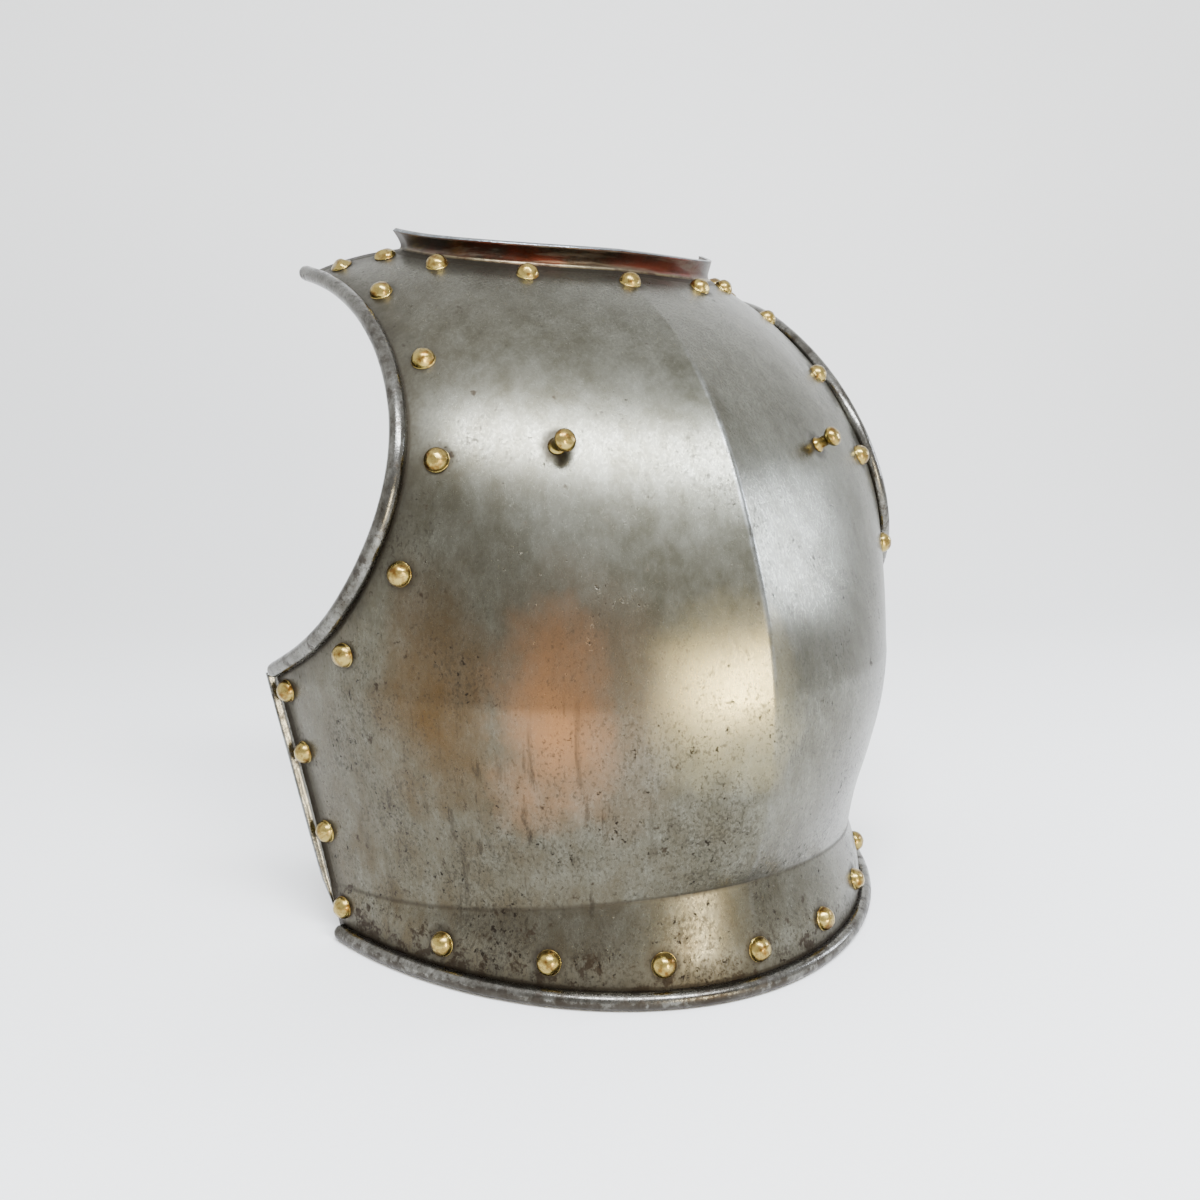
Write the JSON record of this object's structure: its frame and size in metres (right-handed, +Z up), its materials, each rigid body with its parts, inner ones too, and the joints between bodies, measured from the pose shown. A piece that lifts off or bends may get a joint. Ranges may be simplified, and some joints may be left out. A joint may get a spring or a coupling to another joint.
{
  "type": "breastplate",
  "caption": "Cuirassier's breastplate: a ridged, outward-bulging steel plate with rolled borders, round-headed brass rivets and two strap buttons.",
  "frame": {"origin": "on the floor under the middle of the bounding box, as the breastplate stands on its lower rim", "axes": "+Z up, -Y the way the chest faces, +X the wearer's left; the vertical plane x = 0 is the plane of symmetry"},
  "size_m": [0.4054, 0.2602, 0.3974],
  "materials": {
    "steel": "worn satin steel with fine pits and brown tarnish",
    "brass": "dull old brass"
  },
  "bodies": {
    "root": {"plate": "steel", "left_armhole_rivet_1": "brass", "left_armhole_rivet_2": "brass", "left_armhole_rivet_3": "brass", "left_armhole_rivet_4": "brass", "left_armhole_rivet_5": "brass", "left_neck_rivet_1": "brass", "left_neck_rivet_2": "brass", "left_shoulder_rivet_1": "brass", "left_shoulder_rivet_2": "brass", "left_side_rivet_1": "brass", "left_side_rivet_2": "brass", "left_side_rivet_3": "brass", "left_side_rivet_4": "brass", "left_waist_rivet_1": "brass", "left_waist_rivet_2": "brass", "left_waist_rivet_3": "brass", "neck_rivet_middle": "brass", "right_armhole_rivet_1": "brass", "right_armhole_rivet_2": "brass", "right_armhole_rivet_3": "brass", "right_armhole_rivet_4": "brass", "right_armhole_rivet_5": "brass", "right_neck_rivet_1": "brass", "right_neck_rivet_2": "brass", "right_shoulder_rivet_1": "brass", "right_shoulder_rivet_2": "brass", "right_side_rivet_1": "brass", "right_side_rivet_2": "brass", "right_side_rivet_3": "brass", "right_side_rivet_4": "brass", "right_waist_rivet_1": "brass", "right_waist_rivet_2": "brass", "right_waist_rivet_3": "brass", "waist_rivet_middle": "brass", "left_strap_button": "brass", "right_strap_button": "brass"}
  },
  "joints": []
}
